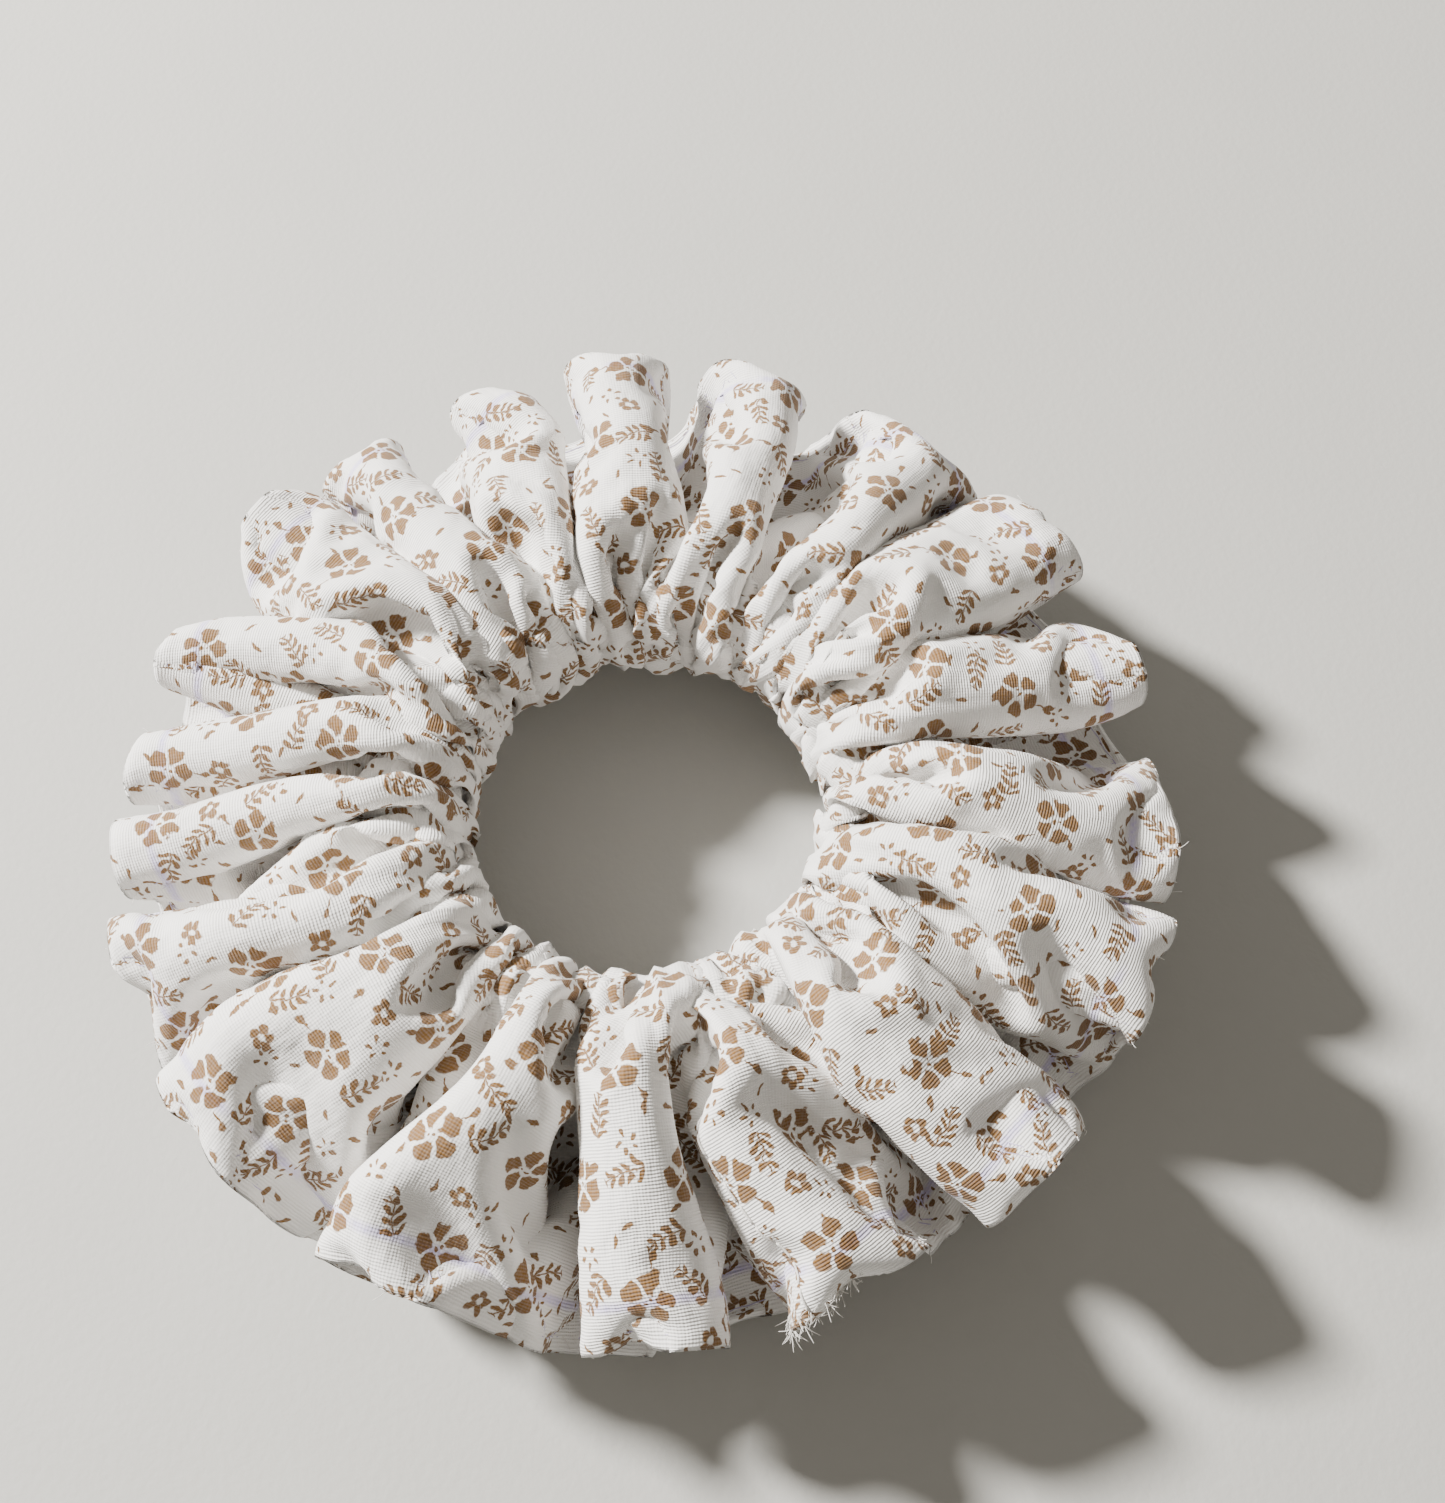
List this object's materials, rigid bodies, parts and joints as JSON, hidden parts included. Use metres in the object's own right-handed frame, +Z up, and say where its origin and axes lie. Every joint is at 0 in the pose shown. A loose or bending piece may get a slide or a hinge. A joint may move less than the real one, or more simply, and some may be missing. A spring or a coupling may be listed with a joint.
{
  "type": "hair scrunchie",
  "caption": "Gathered cotton hair scrunchie lying flat: a pleated fabric tube closed into a ring round a hidden elastic loop, for holding a ponytail.",
  "frame": {"origin": "under the centre of the hole, on the surface that the scrunchie lies on", "axes": "+Z up along the axis of the hole; +X towards the closing seam, and the way the ring is pulled open"},
  "size_m": [0.1202, 0.1196, 0.0385],
  "materials": {
    "printed_cotton": "matt plain-weave cotton, off-white with a brown ditsy floral print",
    "braided_elastic": "white ribbed braided elastic",
    "seam_thread": "pale lilac spun polyester overlock thread",
    "closing_thread": "white spun polyester sewing thread"
  },
  "bodies": {
    "ring": {"fabric_cover": "printed_cotton", "elastic_band": "braided_elastic", "side_seam_needle_thread": "seam_thread", "side_seam_upper_looper_thread": "seam_thread", "side_seam_lower_looper_thread": "seam_thread"},
    "pulled_side": {"closing_seam_needle_thread": "closing_thread", "closing_seam_bobbin_thread": "closing_thread", "elastic_join_needle_thread": "closing_thread", "elastic_join_bobbin_thread": "closing_thread"}
  },
  "joints": [
    {"name": "stretch", "type": "slide", "parent": "ring", "child": "pulled_side", "axis": [1, 0, 0], "range_m": [0, 0.05], "stiffness_N_per_m": 100, "deforming": ["fabric_cover", "elastic_band", "side_seam_needle_thread", "side_seam_upper_looper_thread", "side_seam_lower_looper_thread"]}
  ]
}
